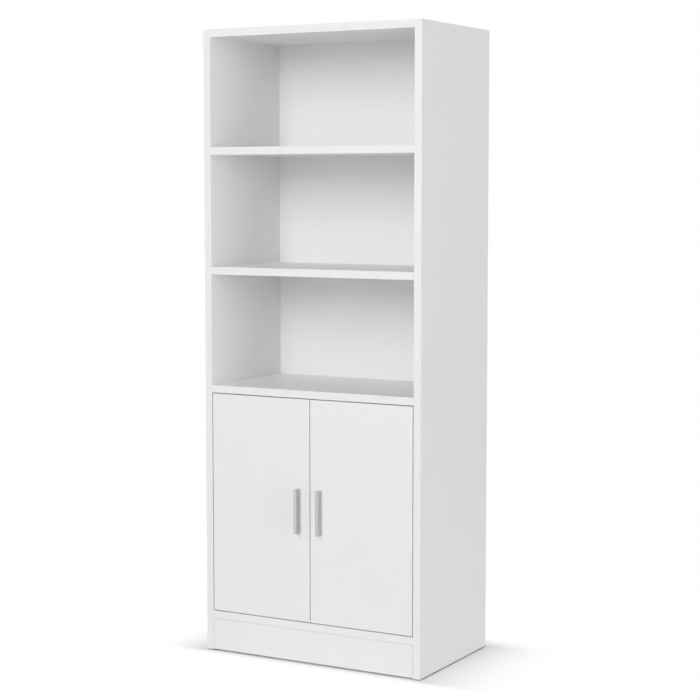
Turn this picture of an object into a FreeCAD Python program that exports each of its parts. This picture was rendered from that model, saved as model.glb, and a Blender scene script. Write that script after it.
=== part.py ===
import FreeCAD, Part
import math
import os

import Sketcher

# Tall bookcase with three open compartments over a cabinet with two inset doors.
# Frame: millimetres, +Z up, front towards -Y, origin on the floor under the middle of the
# overall box (the handles stand out in front of the boards and count in that box).

Vector = FreeCAD.Vector
ALONG = Vector(1, 0, 0)
UPRIGHT = Vector(0, 0, 1)

document = FreeCAD.newDocument("bookcase")

# ---------------------------------------------------------------- driving dimensions

SIZES = (
    ("overall_height", 1800, "floor to the top panel's upper face"),
    ("overall_width", 700, "outside faces of the side panels"),
    ("carcass_depth", 425, "front edge to rear edge of a side panel"),
    ("board", 22, "thickness of every carcass board"),
    ("glide_height", 3, "floor to the underside of the side panels"),
    ("plinth_lift", 2, "underside of the side panels to the underside of the plinth boards"),
    ("plinth_height", 92, "height of the plinth boards"),
    ("cabinet_opening", 642, "clear height between bottom board and cabinet top"),
    ("open_space", 320, "clear height of the two lower open compartments"),
    ("shelf_depth", 378, "front edge to the front face of the back panel"),
    ("back_panel", 8, "thickness of the back panel"),
    ("groove_depth", 8, "depth of the grooves that hold the back panel"),
    ("groove_play", 0.2, "play of the back panel in its grooves, each side"),
    ("groove_clearance", 0.5, "back panel's edge to the bottom of its grooves"),
    ("door_thickness", 19, "thickness of the doors"),
    ("door_gap", 2.5, "gap around the doors and between them"),
    ("inner_shelf_rise", 310, "bottom board to the underside of the adjustable shelf"),
    ("inner_shelf_setback", 45, "front edge of the carcass to the adjustable shelf"),
    ("shelf_play", 1.5, "play of the adjustable shelf at each end and behind"),
    ("pin_radius", 2.5, "shelf pin and its hole"),
    ("pin_depth", 9, "depth of the shelf pin holes"),
    ("pin_reach", 10, "length of a shelf pin's tongue"),
    ("pin_inset", 45, "shelf edge to the nearer column of pin holes"),
    ("pin_pitch", 32, "height between pin holes"),
    ("fitting_inset", 50, "board edge to the nearer cam fitting"),
    ("dowel_offset", 32, "cam fitting to the dowel beside it"),
    ("dowel_radius", 4, "dowel and its holes"),
    ("dowel_length", 35, "length of a dowel"),
    ("dowel_in_side", 12, "length of a dowel held in the side panel"),
    ("dowel_bevel", 1, "bevel of a dowel's ends"),
    ("cam_radius", 7.5, "cam lock, its bore and its cap"),
    ("cam_reach", 24, "side panel's inner face to the cam axis"),
    ("cam_over", 4.5, "height of the cam beyond the bolt's axis"),
    ("cap_thickness", 1.2, "cover cap, flush with the board"),
    ("bolt_bore", 4, "radius of the bore for the cam bolt in the board's end"),
    ("bolt_shaft", 3, "radius of the cam bolt's shaft"),
    ("bolt_neck", 2, "radius of the cam bolt where the cam grips it"),
    ("bolt_thread", 2.5, "radius of the cam bolt's thread in the side panel"),
    ("bolt_thread_length", 11, "length of that thread"),
    ("screw_radius", 1.75, "chipboard screws and their holes"),
    ("screw_head", 3.5, "radius of their heads"),
    ("screw_head_height", 1.8, "height of their heads"),
    ("screw_bite", 11, "length of the short screws in the board"),
    ("back_screw_bite", 20, "length of the back panel's screws in the shelf"),
    ("back_screw_spacing", 200, "distance between the back panel's screws"),
    ("handle_length", 127, "height of a handle"),
    ("handle_width", 8, "width of a handle"),
    ("handle_projection", 26, "front face of the door to the front of the handle"),
    ("handle_bar", 16, "depth of the handle's grip"),
    ("handle_leg", 10, "height of a handle's leg at the door"),
    ("handle_offset", 35, "middle of the doors to the middle of a handle"),
    ("handle_rounding", 1.5, "rounding of the handle's front edges"),
    ("handle_inner_rounding", 4, "rounding where grip and leg meet"),
    ("handle_screw", 2, "radius of the handle screws"),
    ("handle_screw_head", 4, "radius of their heads"),
    ("handle_screw_bite", 9, "length of a handle screw in the leg"),
    ("hinge_inset", 100, "door's top or bottom edge to the hinge"),
    ("cup_radius", 17.5, "outside of the hinge cup and its bore in the door"),
    ("cup_edge", 3, "door's edge to the hinge cup"),
    ("cup_depth", 11.5, "depth of the hinge cup in the door"),
    ("cup_wall", 1, "wall of the hinge cup"),
    ("flange_width", 20, "width of the cup's flange"),
    ("flange_height", 62, "height of the cup's flange"),
    ("flange_thickness", 1, "thickness of the cup's flange"),
    ("cup_screw_rise", 24, "hinge's middle to each cup screw"),
    ("cup_screw_offset", 6, "cup's middle to the cup screws, away from the door's edge"),
    ("cup_pin", 1.2, "radius of the two pins across the cup"),
    ("arm_pin", 1.5, "radius of the two pins across the arm"),
    ("pivot_play", 0.05, "radial running clearance of the links on their pins"),
    ("open_pivot_play", 1.8, "radial clearance of the inner link round its cup pin"),
    ("main_arm_x", 33.4, "main link's arm pin, from the side panel's inner face"),
    ("main_arm_y", 26.9, "main link's arm pin, from the front plane"),
    ("main_cup_x", 9.7, "main link's cup pin"),
    ("main_cup_y", 12.67, "main link's cup pin"),
    ("main_bend_x", 17.5, "bend of the main link"),
    ("main_bend_y", 9.6, "bend of the main link"),
    ("inner_arm_x", 49.66, "inner link's arm pin"),
    ("inner_arm_y", 26.53, "inner link's arm pin"),
    ("inner_cup_x", 14.37, "inner link's cup pin"),
    ("inner_cup_y", 15.57, "inner link's cup pin"),
    ("inner_bend_x", 25, "bend of the inner link"),
    ("inner_bend_y", 19, "bend of the inner link"),
    ("main_link_thickness", 1.6, "thickness of the main link, seen from above"),
    ("inner_link_thickness", 2.4, "thickness of the inner link, seen from above"),
    ("link_eye", 2.2, "radius of a link's eye round a cup pin"),
    ("open_eye", 4, "radius of the inner link's eye round its loose cup pin"),
    ("arm_eye", 2.9, "radius of a link's eye round an arm pin"),
    ("main_link_half", 4, "half the height of the main link"),
    ("cup_ear_gap", 4.3, "hinge's middle to the cup's ears"),
    ("cup_ear", 1.6, "thickness of the cup's ears"),
    ("cup_ear_half", 2.3, "half the width of the cup's ears, and their height over the pin"),
    ("link_play", 0.5, "sideways room of the links in the cup's rim"),
    ("cup_notch", 4, "depth of the notch in the cup's rim for the links"),
    ("inner_link_gap", 6.4, "hinge's middle to the inner link's cheeks"),
    ("link_cheek", 1.2, "thickness of the inner link's cheeks"),
    ("arm_gap", 7.8, "hinge's middle to the arm's cheeks"),
    ("arm_cheek", 1.4, "thickness of the arm's cheeks"),
    ("arm_half", 4.3, "half the width of the arm's cheeks, seen from above"),
    ("arm_web", 1.5, "half the thickness of the arm's web"),
    ("arm_knee_x", 43, "bend of the arm"),
    ("arm_knee_y", 44, "bend of the arm"),
    ("arm_foot_y", 64, "front end of the arm's straight foot"),
    ("arm_rear_y", 94, "rear end of the arm"),
    ("arm_screw_y", 84, "screw that holds the arm to its plate"),
    ("plate_thickness", 1.8, "mounting plate's wings"),
    ("plate_rise", 7.7, "mounting plate's block under the arm"),
    ("plate_setback", 37, "door's rear face to the mounting plate's screws"),
    ("plate_screw_rise", 16, "hinge's middle to each plate screw"),
    ("plate_wing_width", 12, "width of the mounting plate's wings"),
    ("plate_wing_height", 48, "height of the mounting plate's wings"),
    ("plate_block", 6.5, "half the height of the mounting plate's block"),
    ("stop_offset", 30, "middle of the cabinet to the middle of a door stop"),
    ("stop_width", 20, "width of a door stop"),
    ("stop_depth", 12, "depth of a door stop"),
    ("stop_height", 15, "height of a door stop"),
    ("stop_play", 0.3, "door stop to the closed door"),
    ("glide_radius", 10, "radius of a floor glide"),
    ("glide_inset", 35, "front or rear edge of a side panel to a glide"),
    ("nail_radius", 1, "glide nail"),
    ("nail_length", 15, "length of a glide nail in the side panel"),
    ("nail_head", 2.5, "radius of a glide nail's head"),
    ("nail_recess", 1.5, "depth of the glide's recess for the nail's head"),
    ("edge_rounding", 0.8, "rounding of the doors' front edges"),
    ("band_rounding", 0.5, "rounding of the other boards' banded front edges"),
)

sizes = document.addObject("Spreadsheet::Sheet", "size")
for row, (alias, value, meaning) in enumerate(SIZES, start=1):
    sizes.set(f"A{row}", meaning)
    sizes.set(f"B{row}", str(value))
    sizes.setAlias(f"B{row}", alias)
document.recompute()

# ---------------------------------------------------------------- derived places

INNER = "(size.overall_width / 2 - size.board)"
FRONT = "((size.handle_projection - size.carcass_depth) / 2)"
REAR = f"({FRONT} + size.carcass_depth)"
PLINTH_LEVEL = "(size.glide_height + size.plinth_lift)"
BOTTOM_LEVEL = f"({PLINTH_LEVEL} + size.plinth_height)"
CABINET_FLOOR = f"({BOTTOM_LEVEL} + size.board)"
CABINET_TOP_LEVEL = f"({CABINET_FLOOR} + size.cabinet_opening)"
LOWER_SHELF_LEVEL = f"({CABINET_TOP_LEVEL} + size.board + size.open_space)"
UPPER_SHELF_LEVEL = f"({LOWER_SHELF_LEVEL} + size.board + size.open_space)"
TOP_LEVEL = "(size.overall_height - size.board)"
INNER_SHELF_LEVEL = f"({CABINET_FLOOR} + size.inner_shelf_rise)"
CLEAR_WIDTH = f"(2 * {INNER})"

DOOR_WIDTH = f"({INNER} - 1.5 * size.door_gap)"
DOOR_HEIGHT = "(size.cabinet_opening - 2 * size.door_gap)"
DOOR_BOTTOM = f"({CABINET_FLOOR} + size.door_gap)"
HINGE_LOW = f"({DOOR_BOTTOM} + size.hinge_inset)"
HINGE_HIGH = f"({DOOR_BOTTOM} + {DOOR_HEIGHT} - size.hinge_inset)"
HANDLE_MIDDLE = f"({DOOR_BOTTOM} + {DOOR_HEIGHT} / 2)"
HANDLE_SCREW_RISE = "((size.handle_length - size.handle_leg) / 2)"
CUP_X = "(size.door_gap + size.cup_edge + size.cup_radius)"
CUP_BOTTOM = "(size.door_thickness - size.cup_depth)"
CUP_SCREW_X = f"({CUP_X} + size.cup_screw_offset)"
FLANGE_FACE = "(size.door_thickness + size.flange_thickness)"
PLATE_SCREW_Y = "(size.door_thickness + size.plate_setback)"
PIN_HOLE_LEVEL = f"({INNER_SHELF_LEVEL} - size.pin_radius)"
PIN_ROWS = (-2, -1, 0, 1, 2)
PIN_COLUMNS = (
    "(size.inner_shelf_setback + size.pin_inset)",
    "(size.shelf_depth - size.pin_inset)",
)
GLIDE_COLUMNS = ("size.glide_inset", "(size.carcass_depth - size.glide_inset)")


def number(expression):
    """Present value of an expression over the sheet."""
    return float(sizes.evalExpression(expression))


# ---------------------------------------------------------------- small helpers


def place(piece, x, y, z):
    """Bind a piece's place to three expressions."""
    for axis, expression in zip("xyz", (x, y, z)):
        piece.setExpression(f".Placement.Base.{axis}", expression)


def block(name, lengths, corner):
    """Box with its low corner at a place."""
    piece = document.addObject("Part::Box", name)
    for side, expression in zip(("Length", "Width", "Height"), lengths):
        piece.setExpression(side, expression)
    place(piece, *corner)
    return piece


TURNS = {
    "x": FreeCAD.Rotation(Vector(0, 1, 0), 90),
    "y": FreeCAD.Rotation(Vector(1, 0, 0), -90),
    "z": FreeCAD.Rotation(),
}


def rod(name, radius, length, start, axis):
    """Cylinder that starts at a place and runs along +x, +y or +z."""
    piece = document.addObject("Part::Cylinder", name)
    piece.setExpression("Radius", radius)
    piece.setExpression("Height", length)
    piece.Placement = FreeCAD.Placement(Vector(), TURNS[axis])
    place(piece, *start)
    return piece


def join(name, pieces):
    """One solid from pieces that touch."""
    joined = document.addObject("Part::MultiFuse", name)
    joined.Shapes = pieces
    joined.Refine = True
    return joined


def cut(name, base, tools):
    """Base without the tools."""
    tool = tools[0] if len(tools) == 1 else group(f"{name}_tools", tools)
    trimmed = document.addObject("Part::Cut", name)
    trimmed.Base = base
    trimmed.Tool = tool
    return trimmed


def group(name, pieces):
    """Separate solids in one object."""
    together = document.addObject("Part::Compound", name)
    together.Links = pieces
    return together


def mirrored(name, source):
    """The same piece on the other side of the middle plane."""
    twin = document.addObject("Part::Mirroring", name)
    twin.Source = source
    twin.Normal = ALONG
    twin.Base = Vector(0, 0, 0)
    return twin


def copy_of(name, seed, start, turn=None):
    """A copy of a small part at a place."""
    link = document.addObject("App::Link", name)
    link.LinkedObject = seed
    link.Placement = FreeCAD.Placement(Vector(), turn or FreeCAD.Rotation())
    place(link, *start)
    return link


def both_sides(name, left_pieces):
    """A node that holds the left pieces and their mirror images."""
    left = group(f"{name}_left_half", left_pieces)
    return group(name, [left, mirrored(f"{name}_right_half", left)])


# ---------------------------------------------------------------- sketched bodies


def body(name, x, y, z):
    """Body whose own origin sits at a place."""
    piece = document.addObject("PartDesign::Body", name)
    place(piece, x, y, z)
    return piece


def sketch(piece, plane_role, name, lift="0"):
    """Sketch on one of the body's own origin planes, lifted along its normal."""
    plane = next(f for f in piece.Origin.OriginFeatures if f.Role == plane_role)
    drawing = piece.newObject("Sketcher::SketchObject", name)
    drawing.AttachmentSupport = [(plane, "")]
    drawing.MapMode = "FlatFace"
    drawing.setExpression(".AttachmentOffset.Base.z", lift)
    return drawing


def dimension(drawing, kind, references, expression):
    """Dimension in a sketch, bound to an expression."""
    index = drawing.addConstraint(Sketcher.Constraint(kind, *references, number(expression)))
    drawing.setExpression(f"Constraints[{index}]", expression)


def rectangle(drawing, left, low, width, height):
    """Upright rectangle in a sketch."""
    x, y = number(left), number(low)
    w, h = number(width), number(height)
    corners = [Vector(x, y), Vector(x + w, y), Vector(x + w, y + h), Vector(x, y + h)]
    first = len(drawing.Geometry)
    sides = [first + i for i in range(4)]
    for i in range(4):
        drawing.addGeometry(Part.LineSegment(corners[i], corners[(i + 1) % 4]))
    for i in range(4):
        drawing.addConstraint(Sketcher.Constraint("Coincident", sides[i], 2, sides[(i + 1) % 4], 1))
    for i in range(4):
        lie = "Horizontal" if i % 2 == 0 else "Vertical"
        drawing.addConstraint(Sketcher.Constraint(lie, sides[i]))
    dimension(drawing, "DistanceX", (-1, 1, first, 1), left)
    dimension(drawing, "DistanceY", (-1, 1, first, 1), low)
    dimension(drawing, "DistanceX", (first, 1, first, 2), width)
    dimension(drawing, "DistanceY", (first + 1, 1, first + 1, 2), height)


def circle(drawing, x, y, radius):
    """Circle in a sketch."""
    centre = Vector(number(x), number(y))
    index = drawing.addGeometry(Part.Circle(centre, Vector(0, 0, 1), number(radius)))
    dimension(drawing, "DistanceX", (-1, 1, index, 3), x)
    dimension(drawing, "DistanceY", (-1, 1, index, 3), y)
    dimension(drawing, "Radius", (index,), radius)


def pad(piece, drawing, length, reverse=False):
    """Material from a sketch along its normal."""
    feature = piece.newObject("PartDesign::Pad", f"{drawing.Name}_pad")
    feature.Profile = drawing
    feature.Reversed = reverse
    feature.setExpression("Length", length)
    return feature


def pocket(piece, drawing, depth, reverse=False):
    """Cut from a sketch against its normal, or along it when reversed."""
    feature = piece.newObject("PartDesign::Pocket", f"{drawing.Name}_cut")
    feature.Profile = drawing
    feature.Reversed = reverse
    feature.setExpression("Length", depth)
    return feature


def bores(piece, plane_role, name, lift, centres, radius, depth, reverse=False):
    """Round holes of one size from one face."""
    drawing = sketch(piece, plane_role, name, lift)
    for x, y in centres:
        circle(drawing, x, y, radius)
    return pocket(piece, drawing, depth, reverse)


# ---------------------------------------------------------------- board joints

# Each fixed board: name, front edge y and underside z of its box, its y and z extents, the
# face that its cams are let into, and the cams and dowels along its end (local y, local z).

MID = "size.board / 2"


def shelf_fittings():
    """Cams and dowels at the end of a lying board, all in front of the back panel."""
    cams = [("size.fitting_inset", MID), ("(size.shelf_depth - size.fitting_inset)", MID)]
    dowels = [
        ("(size.fitting_inset + size.dowel_offset)", MID),
        ("(size.shelf_depth - size.fitting_inset - size.dowel_offset)", MID),
    ]
    return cams, dowels


def plinth_fittings():
    """One cam and two dowels at the end of a standing board."""
    cams = [(MID, "size.plinth_height / 2")]
    dowels = [(MID, f"(size.plinth_height / 2 {sign} size.dowel_offset)") for sign in "+-"]
    return cams, dowels


FULL = "size.carcass_depth"
SHORT = "size.shelf_depth"
PLINTH = "size.plinth_height"
BOARDS = (
    ("bottom_panel", FRONT, BOTTOM_LEVEL, FULL, "size.board", "under", *shelf_fittings()),
    ("cabinet_top", FRONT, CABINET_TOP_LEVEL, SHORT, "size.board", "under", *shelf_fittings()),
    ("shelf_lower", FRONT, LOWER_SHELF_LEVEL, SHORT, "size.board", "under", *shelf_fittings()),
    ("shelf_upper", FRONT, UPPER_SHELF_LEVEL, SHORT, "size.board", "over", *shelf_fittings()),
    ("top_panel", FRONT, TOP_LEVEL, FULL, "size.board", "over", *shelf_fittings()),
    ("plinth_front", FRONT, PLINTH_LEVEL, "size.board", PLINTH, "behind", *plinth_fittings()),
    ("plinth_rear", f"({REAR} - size.board)", PLINTH_LEVEL, "size.board", PLINTH, "before",
     *plinth_fittings()),
)

CAM_DEPTH = "(size.board / 2 + size.cam_over)"
DOWEL_IN_BOARD = "(size.dowel_length - size.dowel_in_side)"


def round_front(piece, slab, name, radius, axis=None):
    """Rounds a slab's front edges, all of them or those that run along one axis."""
    document.recompute()
    rounding = piece.newObject("PartDesign::Fillet", name)
    rounding.Base = (slab, [
        f"Edge{i}" for i, edge in enumerate(slab.Shape.Edges, start=1)
        if edge.BoundBox.YMax < 1e-4
        and (axis is None or abs(edge.tangentAt(edge.FirstParameter).dot(axis)) > 0.5)
    ])
    rounding.setExpression("Radius", radius)


def cam_bores(piece, name, face, cams):
    """Bores for the cams near both ends of a board, from the named face."""
    ends = ("size.cam_reach", f"({CLEAR_WIDTH} - size.cam_reach)")
    if face in ("under", "over"):
        centres = [(x, y) for x in ends for y, z in cams]
        lift = "0" if face == "under" else "size.board"
        bores(piece, "XY_Plane", f"{name}_cams", lift, centres, "size.cam_radius", CAM_DEPTH,
              reverse=face == "under")
    else:
        centres = [(x, z) for x in ends for y, z in cams]
        lift = "0" if face == "before" else "-size.board"
        bores(piece, "XZ_Plane", f"{name}_cams", lift, centres, "size.cam_radius", CAM_DEPTH,
              reverse=face == "behind")


def end_bores(piece, name, centres, radius, depth):
    """The same bores in both ends of a board."""
    bores(piece, "YZ_Plane", f"{name}_left", "0", centres, radius, depth, reverse=True)
    bores(piece, "YZ_Plane", f"{name}_right", CLEAR_WIDTH, centres, radius, depth)


def board(name, y, z, depth, height, face, cams, dowels):
    """Board between the side panels, with the bores for its fittings."""
    piece = body(name, f"-{INNER}", y, z)
    outline = sketch(piece, "XY_Plane", f"{name}_outline")
    rectangle(outline, "0", "0", CLEAR_WIDTH, depth)
    slab = pad(piece, outline, height)
    if y == FRONT:
        round_front(piece, slab, f"{name}_edges", "size.band_rounding", ALONG)
    end_bores(piece, f"{name}_dowels", dowels, "size.dowel_radius", DOWEL_IN_BOARD)
    end_bores(piece, f"{name}_bolts", cams, "size.bolt_bore", "size.cam_reach")
    cam_bores(piece, name, face, cams)
    return piece


def back_screw_bores(piece, name):
    """Pilot holes for the back panel's screws in a shelf's rear edge."""
    centres = [(x, MID) for x in back_screw_columns()]
    bores(piece, "XZ_Plane", f"{name}_back_screws", "-size.shelf_depth", centres,
          "size.screw_radius", "size.back_screw_bite", reverse=True)


def back_screw_columns():
    """The back panel's screws along a shelf, from the shelf's left end."""
    return [f"({CLEAR_WIDTH} / 2 + {step} * size.back_screw_spacing)" for step in (-1, 0, 1)]


def long_groove(piece, name, low_face):
    """Groove for the back panel across a lying board."""
    lift = "0" if low_face else "size.board"
    drawing = sketch(piece, "XY_Plane", f"{name}_groove", lift)
    rectangle(drawing, "0", "(size.shelf_depth - size.groove_play)", CLEAR_WIDTH,
              "(size.back_panel + 2 * size.groove_play)")
    pocket(piece, drawing, "size.groove_depth", reverse=low_face)


# ---------------------------------------------------------------- boards


def side_panel():
    """Left side panel: groove for the back, and the holes of all that is fixed to it."""
    piece = body("side_panel_left", "-size.overall_width / 2", FRONT, "size.glide_height")
    outline = sketch(piece, "YZ_Plane", "side_outline")
    height = "(size.overall_height - size.glide_height)"
    rectangle(outline, "0", "0", "size.carcass_depth", height)
    slab = pad(piece, outline, "size.board")
    round_front(piece, slab, "side_edges", "size.band_rounding", UPRIGHT)

    groove = sketch(piece, "YZ_Plane", "side_groove", "size.board")
    rectangle(groove, "(size.shelf_depth - size.groove_play)",
              f"({CABINET_FLOOR} - size.groove_depth - size.glide_height)",
              "(size.back_panel + 2 * size.groove_play)",
              f"({TOP_LEVEL} - {CABINET_FLOOR} + 2 * size.groove_depth)")
    pocket(piece, groove, "size.groove_depth")

    bolts, dowels = [], []
    for name, y, z, depth, board_height, face, cams, pegs in BOARDS:
        bolts += [(f"({y} + {v} - {FRONT})", f"({z} + {w} - size.glide_height)") for v, w in cams]
        dowels += [(f"({y} + {v} - {FRONT})", f"({z} + {w} - size.glide_height)") for v, w in pegs]
    inside = "size.board"
    bores(piece, "YZ_Plane", "side_bolts", inside, bolts, "size.bolt_thread",
          "size.bolt_thread_length")
    bores(piece, "YZ_Plane", "side_dowels", inside, dowels, "size.dowel_radius",
          "size.dowel_in_side")
    pins = [
        (y, f"({PIN_HOLE_LEVEL} - size.glide_height + {step} * size.pin_pitch)")
        for y in PIN_COLUMNS
        for step in PIN_ROWS
    ]
    bores(piece, "YZ_Plane", "side_pins", inside, pins, "size.pin_radius", "size.pin_depth")
    plates = [
        (PLATE_SCREW_Y, f"({hinge} - size.glide_height {sign} size.plate_screw_rise)")
        for hinge in (HINGE_LOW, HINGE_HIGH)
        for sign in "+-"
    ]
    bores(piece, "YZ_Plane", "side_plate_screws", inside, plates, "size.screw_radius",
          "size.screw_bite")
    nails = [("size.board / 2", y) for y in GLIDE_COLUMNS]
    bores(piece, "XY_Plane", "side_nails", "0", nails, "size.nail_radius", "size.nail_length",
          reverse=True)
    return piece


def back_panel():
    """Back panel in the grooves, with holes for its screws."""
    held = "(size.groove_depth - size.groove_clearance)"
    panel = block(
        "back_board",
        (f"({CLEAR_WIDTH} + 2 * {held})", "size.back_panel",
         f"({TOP_LEVEL} - {CABINET_FLOOR} + 2 * {held})"),
        (f"(-{INNER} - {held})", f"({FRONT} + size.shelf_depth)", f"({CABINET_FLOOR} - {held})"),
    )
    holes = [
        rod(f"back_hole_{shelf}_{column}", "size.screw_radius", "size.back_panel",
            (f"(-{INNER} + {x})", f"({FRONT} + size.shelf_depth)", f"({z} + {MID})"), "y")
        for shelf, z in enumerate((CABINET_TOP_LEVEL, LOWER_SHELF_LEVEL, UPPER_SHELF_LEVEL))
        for column, x in enumerate(back_screw_columns())
    ]
    return cut("back_panel", panel, holes)


def adjustable_shelf():
    """Shelf inside the cabinet, lying on four pins."""
    piece = body("cabinet_shelf", f"(-{INNER} + size.shelf_play)",
                 f"({FRONT} + size.inner_shelf_setback)", INNER_SHELF_LEVEL)
    outline = sketch(piece, "XY_Plane", "cabinet_shelf_outline")
    rectangle(outline, "0", "0", f"({CLEAR_WIDTH} - 2 * size.shelf_play)",
              "(size.shelf_depth - size.inner_shelf_setback - size.shelf_play)")
    slab = pad(piece, outline, "size.board")
    round_front(piece, slab, "cabinet_shelf_edges", "size.band_rounding", ALONG)
    return piece


# ---------------------------------------------------------------- doors and handles


def door():
    """Left door: cup bores, screw holes behind, handle holes right through."""
    piece = body("door_left", f"(-{INNER} + size.door_gap)", FRONT, DOOR_BOTTOM)
    outline = sketch(piece, "XZ_Plane", "door_outline")
    rectangle(outline, "0", "0", DOOR_WIDTH, DOOR_HEIGHT)
    slab = pad(piece, outline, "size.door_thickness", reverse=True)
    round_front(piece, slab, "door_front_edges", "size.edge_rounding")

    rear = "-size.door_thickness"
    hinges = ("size.hinge_inset", f"({DOOR_HEIGHT} - size.hinge_inset)")
    cups = [("(size.cup_edge + size.cup_radius)", z) for z in hinges]
    bores(piece, "XZ_Plane", "door_cups", rear, cups, "size.cup_radius", "size.cup_depth",
          reverse=True)
    screws = [
        (f"({CUP_SCREW_X} - size.door_gap)", f"({z} {sign} size.cup_screw_rise)")
        for z in hinges
        for sign in "+-"
    ]
    bores(piece, "XZ_Plane", "door_cup_screws", rear, screws, "size.screw_radius",
          "size.screw_bite", reverse=True)
    handle_x = f"({INNER} - size.door_gap - size.handle_offset)"
    handles = [
        (handle_x, f"({DOOR_HEIGHT} / 2 {sign} {HANDLE_SCREW_RISE})")
        for sign in "+-"
    ]
    bores(piece, "XZ_Plane", "door_handle_screws", rear, handles, "size.handle_screw",
          "size.door_thickness", reverse=True)
    return piece


def handle():
    """D handle: one bar with two legs, its grip opening cut from the side."""
    piece = body("handle_left", f"(-size.handle_offset - size.handle_width / 2)",
                 f"({FRONT} - size.handle_projection)",
                 f"({HANDLE_MIDDLE} - size.handle_length / 2)")
    outline = sketch(piece, "YZ_Plane", "handle_outline")
    rectangle(outline, "0", "0", "size.handle_projection", "size.handle_length")
    bar = pad(piece, outline, "size.handle_width")

    grip = sketch(piece, "YZ_Plane", "handle_grip", "size.handle_width")
    rectangle(grip, "size.handle_bar", "size.handle_leg",
              "(size.handle_projection - size.handle_bar)",
              "(size.handle_length - 2 * size.handle_leg)")
    opening = pocket(piece, grip, "size.handle_width")

    leg_holes = [("size.handle_width / 2", f"(size.handle_length / 2 {sign} {HANDLE_SCREW_RISE})")
                 for sign in "+-"]
    drilled = bores(piece, "XZ_Plane", "handle_screw_holes", "-size.handle_projection", leg_holes,
                    "size.handle_screw", "size.handle_screw_bite", reverse=True)
    document.recompute()

    bar_depth = number("size.handle_bar")
    inner = piece.newObject("PartDesign::Fillet", "handle_grip_corners")
    inner.Base = (drilled, [
        f"Edge{i}" for i, edge in enumerate(drilled.Shape.Edges, start=1)
        if abs(edge.BoundBox.YMin - bar_depth) < 1e-4 and abs(edge.BoundBox.YMax - bar_depth) < 1e-4
        and edge.BoundBox.ZLength < 1e-4 and edge.BoundBox.XLength > 1
    ])
    inner.setExpression("Radius", "size.handle_inner_rounding")
    round_front(piece, inner, "handle_front_edges", "size.handle_rounding")
    return piece


def handle_screws():
    """Two screws from behind the door into the handle's legs."""
    rear = f"({FRONT} + size.door_thickness)"
    screws = []
    for index, sign in enumerate("+-"):
        z = f"({HANDLE_MIDDLE} {sign} {HANDLE_SCREW_RISE})"
        shank = rod(f"handle_shank_{index}", "size.handle_screw",
                    "(size.door_thickness + size.handle_screw_bite)",
                    ("-size.handle_offset", f"({FRONT} - size.handle_screw_bite)", z), "y")
        head = rod(f"handle_head_{index}", "size.handle_screw_head", "size.screw_head_height",
                   ("-size.handle_offset", rear, z), "y")
        screws.append(join(f"handle_screw_{index}", [shank, head]))
    return group("handle_screws_left", screws)


# ---------------------------------------------------------------- concealed hinges

# Drawn round the hinge's own origin: x from the side panel's inner face, y from the front
# plane, z from the hinge's middle.

MAIN_ARM = ("size.main_arm_x", "size.main_arm_y")
MAIN_CUP = ("size.main_cup_x", "size.main_cup_y")
INNER_ARM = ("size.inner_arm_x", "size.inner_arm_y")
INNER_CUP = ("size.inner_cup_x", "size.inner_cup_y")
ARM_FOOT_X = "(size.plate_rise + size.arm_web)"


def strip(name, points, half_width, low, high):
    """Upright strip of even width along a bent line seen from above, with round ends."""
    line = Part.makePolygon([Vector(number(x), number(y), low) for x, y in points])
    outline = line.makeOffset2D(half_width, 0, False, False, False)
    piece = document.addObject("Part::Feature", name)
    piece.Shape = Part.Face(outline).extrude(Vector(0, 0, high - low))
    return piece


def upright(name, point, radius, half):
    """Round part about an upright axis, reaching as far below the middle as above it."""
    return rod(name, radius, f"(2 * {half})", (*point, f"-{half}"), "z")


CUP_EAR_TOP = "(size.cup_ear_gap + size.cup_ear)"
INNER_LINK_TOP = "(size.inner_link_gap + size.link_cheek)"


def cup():
    """Cup with its flange, ears for the main link's pin, and a notch in its rim for the links."""
    outside = rod("cup_outside", "size.cup_radius", "size.cup_depth", (CUP_X, CUP_BOTTOM, "0"), "y")
    flange = block("cup_flange", ("size.flange_width", "size.flange_thickness", "size.flange_height"),
                   (f"({CUP_X} + size.cup_screw_offset / 2 - size.flange_width / 2)",
                    "size.door_thickness", "-size.flange_height / 2"))
    inside = rod("cup_inside", "(size.cup_radius - size.cup_wall)",
                 "(size.cup_depth - size.cup_wall + size.flange_thickness)",
                 (CUP_X, f"({CUP_BOTTOM} + size.cup_wall)", "0"), "y")
    shell = cut("cup_shell", join("cup_solid", [outside, flange]), [inside])
    cup_floor = f"({CUP_BOTTOM} + size.cup_wall / 2)"
    ears = [
        block(f"cup_ear_{index}",
              ("(2 * size.cup_ear_half)", f"(size.main_cup_y + size.cup_ear_half - {cup_floor})",
               "size.cup_ear"),
              ("(size.main_cup_x - size.cup_ear_half)", cup_floor, z))
        for index, z in enumerate(("size.cup_ear_gap", f"-{CUP_EAR_TOP}"))
    ]
    notch_half = f"({INNER_LINK_TOP} + size.link_play)"
    notch = block("cup_rim_notch",
                  (f"(size.main_cup_x - {CUP_X} + size.cup_radius)", "size.cup_notch",
                   f"(2 * {notch_half})"),
                  (f"({CUP_X} - size.cup_radius)", "(size.door_thickness - size.cup_notch)",
                   f"-{notch_half}"))
    screw_holes = [
        rod(f"cup_hole_{index}", "size.screw_radius", "size.flange_thickness",
            (CUP_SCREW_X, "size.door_thickness", f"{sign}size.cup_screw_rise"), "y")
        for index, sign in enumerate(("", "-"))
    ]
    pins = cup_pins("cup_pin_holes")
    return cut("cup_seed", join("cup_body", [shell, *ears]), [notch, *screw_holes, *pins])


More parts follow.
